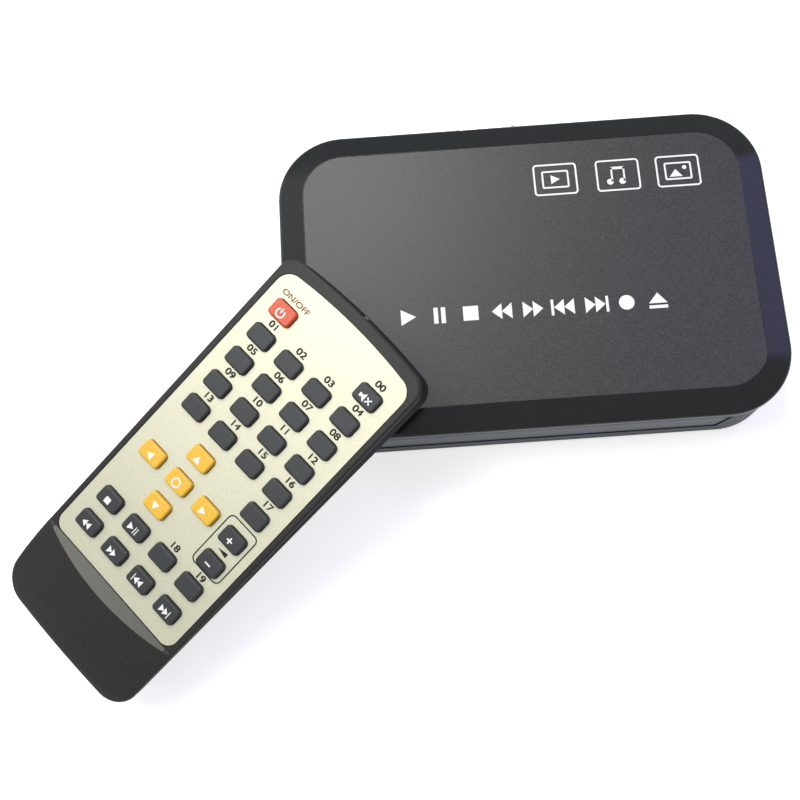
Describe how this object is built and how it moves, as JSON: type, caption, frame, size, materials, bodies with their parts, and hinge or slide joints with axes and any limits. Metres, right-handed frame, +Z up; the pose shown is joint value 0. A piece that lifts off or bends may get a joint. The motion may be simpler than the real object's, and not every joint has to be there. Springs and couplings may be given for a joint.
{
  "type": "media player with remote control",
  "caption": "Small flat media player with rounded corners, a matte panel in a glossy bezel and wall sockets, with its keyed infrared remote leaning on one corner.",
  "frame": {"origin": "middle of the player's footprint, on the surface that it stands on", "axes": "+X to the player's right seen from its front, +Y to its back with the socket row, +Z up"},
  "size_m": [0.1935, 0.143, 0.0474],
  "materials": {
    "case_dark": "fine satin",
    "case_gloss": "polished",
    "panel_grey": "fine grain",
    "window_smoke": "smoked, satin",
    "board_green": "solder mask",
    "chip_black": "moulded",
    "sink_metal": "extruded",
    "socket_metal": "plated",
    "socket_black": "moulded",
    "lamp_clear": "clear",
    "foot_rubber": "matte",
    "remote_black": "spark texture",
    "plate_silver": "silver paint",
    "mat_rubber": "matte",
    "cell_metal": "foil sleeve",
    "key_slate": "satin",
    "key_orange": "satin",
    "key_red": "satin"
  },
  "bodies": {
    "player": {"base_shell": "case_dark", "bezel_cover": "case_gloss", "top_panel": "panel_grey", "front_window": "window_smoke", "main_board": "board_green", "processor": "chip_black", "heat_sink": "sink_metal", "digital_video_socket": "socket_metal", "monitor_socket": "socket_metal", "av_sockets": "socket_black", "power_socket": "socket_black", "drive_sockets": "socket_metal", "card_slot": "socket_metal", "ir_receiver": "chip_black", "status_lights": "lamp_clear", "rubber_feet": "foot_rubber", "case_screws": "socket_metal"},
    "remote": {"remote_upper_shell": "remote_black", "face_plate": "plate_silver", "keypad_mat": "mat_rubber", "remote_board": "board_green", "ir_emitter": "lamp_clear", "remote_lower_shell": "remote_black", "batteries": "cell_metal", "battery_contacts": "socket_metal"},
    "battery_door": {"battery_door": "remote_black"},
    "key_power": {"key_power": "key_red"},
    "key_mute": {"key_mute": "key_slate"},
    "key_01": {"key_01": "key_slate"},
    "key_02": {"key_02": "key_slate"},
    "key_03": {"key_03": "key_slate"},
    "key_04": {"key_04": "key_slate"},
    "key_05": {"key_05": "key_slate"},
    "key_06": {"key_06": "key_slate"},
    "key_07": {"key_07": "key_slate"},
    "key_08": {"key_08": "key_slate"},
    "key_09": {"key_09": "key_slate"},
    "key_10": {"key_10": "key_slate"},
    "key_11": {"key_11": "key_slate"},
    "key_12": {"key_12": "key_slate"},
    "key_13": {"key_13": "key_slate"},
    "key_14": {"key_14": "key_slate"},
    "key_15": {"key_15": "key_slate"},
    "key_16": {"key_16": "key_slate"},
    "key_17": {"key_17": "key_slate"},
    "key_18": {"key_18": "key_slate"},
    "key_19": {"key_19": "key_slate"},
    "key_up": {"key_up": "key_orange"},
    "key_left": {"key_left": "key_orange"},
    "key_enter": {"key_enter": "key_orange"},
    "key_right": {"key_right": "key_orange"},
    "key_down": {"key_down": "key_orange"},
    "key_volume_up": {"key_volume_up": "key_slate"},
    "key_volume_down": {"key_volume_down": "key_slate"},
    "key_stop": {"key_stop": "key_slate"},
    "key_play": {"key_play": "key_slate"},
    "key_rewind": {"key_rewind": "key_slate"},
    "key_forward": {"key_forward": "key_slate"},
    "key_previous": {"key_previous": "key_slate"},
    "key_next": {"key_next": "key_slate"}
  },
  "joints": [
    {"name": "remote_lift", "type": "slide", "parent": "player", "child": "remote", "axis": [0, 0, 1], "range_m": [0, 0.06]},
    {"name": "battery_door_swing", "type": "hinge", "parent": "remote", "child": "battery_door", "pos_m": [-0.10608, -0.07374, 0.00189], "axis": [-0.6433, 0.7656, 0], "range_deg": [0, 60]},
    {"name": "key_power_press", "type": "slide", "parent": "remote", "child": "key_power", "axis": [0.2201, 0.185, -0.9578], "range_m": [0, 0.001], "stiffness_N_per_m": 500},
    {"name": "key_mute_press", "type": "slide", "parent": "remote", "child": "key_mute", "axis": [0.2201, 0.185, -0.9578], "range_m": [0, 0.001], "stiffness_N_per_m": 500},
    {"name": "key_01_press", "type": "slide", "parent": "remote", "child": "key_01", "axis": [0.2201, 0.185, -0.9578], "range_m": [0, 0.001], "stiffness_N_per_m": 500},
    {"name": "key_02_press", "type": "slide", "parent": "remote", "child": "key_02", "axis": [0.2201, 0.185, -0.9578], "range_m": [0, 0.001], "stiffness_N_per_m": 500},
    {"name": "key_03_press", "type": "slide", "parent": "remote", "child": "key_03", "axis": [0.2201, 0.185, -0.9578], "range_m": [0, 0.001], "stiffness_N_per_m": 500},
    {"name": "key_04_press", "type": "slide", "parent": "remote", "child": "key_04", "axis": [0.2201, 0.185, -0.9578], "range_m": [0, 0.001], "stiffness_N_per_m": 500},
    {"name": "key_05_press", "type": "slide", "parent": "remote", "child": "key_05", "axis": [0.2201, 0.185, -0.9578], "range_m": [0, 0.001], "stiffness_N_per_m": 500},
    {"name": "key_06_press", "type": "slide", "parent": "remote", "child": "key_06", "axis": [0.2201, 0.185, -0.9578], "range_m": [0, 0.001], "stiffness_N_per_m": 500},
    {"name": "key_07_press", "type": "slide", "parent": "remote", "child": "key_07", "axis": [0.2201, 0.185, -0.9578], "range_m": [0, 0.001], "stiffness_N_per_m": 500},
    {"name": "key_08_press", "type": "slide", "parent": "remote", "child": "key_08", "axis": [0.2201, 0.185, -0.9578], "range_m": [0, 0.001], "stiffness_N_per_m": 500},
    {"name": "key_09_press", "type": "slide", "parent": "remote", "child": "key_09", "axis": [0.2201, 0.185, -0.9578], "range_m": [0, 0.001], "stiffness_N_per_m": 500},
    {"name": "key_10_press", "type": "slide", "parent": "remote", "child": "key_10", "axis": [0.2201, 0.185, -0.9578], "range_m": [0, 0.001], "stiffness_N_per_m": 500},
    {"name": "key_11_press", "type": "slide", "parent": "remote", "child": "key_11", "axis": [0.2201, 0.185, -0.9578], "range_m": [0, 0.001], "stiffness_N_per_m": 500},
    {"name": "key_12_press", "type": "slide", "parent": "remote", "child": "key_12", "axis": [0.2201, 0.185, -0.9578], "range_m": [0, 0.001], "stiffness_N_per_m": 500},
    {"name": "key_13_press", "type": "slide", "parent": "remote", "child": "key_13", "axis": [0.2201, 0.185, -0.9578], "range_m": [0, 0.001], "stiffness_N_per_m": 500},
    {"name": "key_14_press", "type": "slide", "parent": "remote", "child": "key_14", "axis": [0.2201, 0.185, -0.9578], "range_m": [0, 0.001], "stiffness_N_per_m": 500},
    {"name": "key_15_press", "type": "slide", "parent": "remote", "child": "key_15", "axis": [0.2201, 0.185, -0.9578], "range_m": [0, 0.001], "stiffness_N_per_m": 500},
    {"name": "key_16_press", "type": "slide", "parent": "remote", "child": "key_16", "axis": [0.2201, 0.185, -0.9578], "range_m": [0, 0.001], "stiffness_N_per_m": 500},
    {"name": "key_17_press", "type": "slide", "parent": "remote", "child": "key_17", "axis": [0.2201, 0.185, -0.9578], "range_m": [0, 0.001], "stiffness_N_per_m": 500},
    {"name": "key_18_press", "type": "slide", "parent": "remote", "child": "key_18", "axis": [0.2201, 0.185, -0.9578], "range_m": [0, 0.001], "stiffness_N_per_m": 500},
    {"name": "key_19_press", "type": "slide", "parent": "remote", "child": "key_19", "axis": [0.2201, 0.185, -0.9578], "range_m": [0, 0.001], "stiffness_N_per_m": 500},
    {"name": "key_up_press", "type": "slide", "parent": "remote", "child": "key_up", "axis": [0.2201, 0.185, -0.9578], "range_m": [0, 0.001], "stiffness_N_per_m": 500},
    {"name": "key_left_press", "type": "slide", "parent": "remote", "child": "key_left", "axis": [0.2201, 0.185, -0.9578], "range_m": [0, 0.001], "stiffness_N_per_m": 500},
    {"name": "key_enter_press", "type": "slide", "parent": "remote", "child": "key_enter", "axis": [0.2201, 0.185, -0.9578], "range_m": [0, 0.001], "stiffness_N_per_m": 500},
    {"name": "key_right_press", "type": "slide", "parent": "remote", "child": "key_right", "axis": [0.2201, 0.185, -0.9578], "range_m": [0, 0.001], "stiffness_N_per_m": 500},
    {"name": "key_down_press", "type": "slide", "parent": "remote", "child": "key_down", "axis": [0.2201, 0.185, -0.9578], "range_m": [0, 0.001], "stiffness_N_per_m": 500},
    {"name": "key_volume_up_press", "type": "slide", "parent": "remote", "child": "key_volume_up", "axis": [0.2201, 0.185, -0.9578], "range_m": [0, 0.001], "stiffness_N_per_m": 500},
    {"name": "key_volume_down_press", "type": "slide", "parent": "remote", "child": "key_volume_down", "axis": [0.2201, 0.185, -0.9578], "range_m": [0, 0.001], "stiffness_N_per_m": 500},
    {"name": "key_stop_press", "type": "slide", "parent": "remote", "child": "key_stop", "axis": [0.2201, 0.185, -0.9578], "range_m": [0, 0.001], "stiffness_N_per_m": 500},
    {"name": "key_play_press", "type": "slide", "parent": "remote", "child": "key_play", "axis": [0.2201, 0.185, -0.9578], "range_m": [0, 0.001], "stiffness_N_per_m": 500},
    {"name": "key_rewind_press", "type": "slide", "parent": "remote", "child": "key_rewind", "axis": [0.2201, 0.185, -0.9578], "range_m": [0, 0.001], "stiffness_N_per_m": 500},
    {"name": "key_forward_press", "type": "slide", "parent": "remote", "child": "key_forward", "axis": [0.2201, 0.185, -0.9578], "range_m": [0, 0.001], "stiffness_N_per_m": 500},
    {"name": "key_previous_press", "type": "slide", "parent": "remote", "child": "key_previous", "axis": [0.2201, 0.185, -0.9578], "range_m": [0, 0.001], "stiffness_N_per_m": 500},
    {"name": "key_next_press", "type": "slide", "parent": "remote", "child": "key_next", "axis": [0.2201, 0.185, -0.9578], "range_m": [0, 0.001], "stiffness_N_per_m": 500}
  ]
}
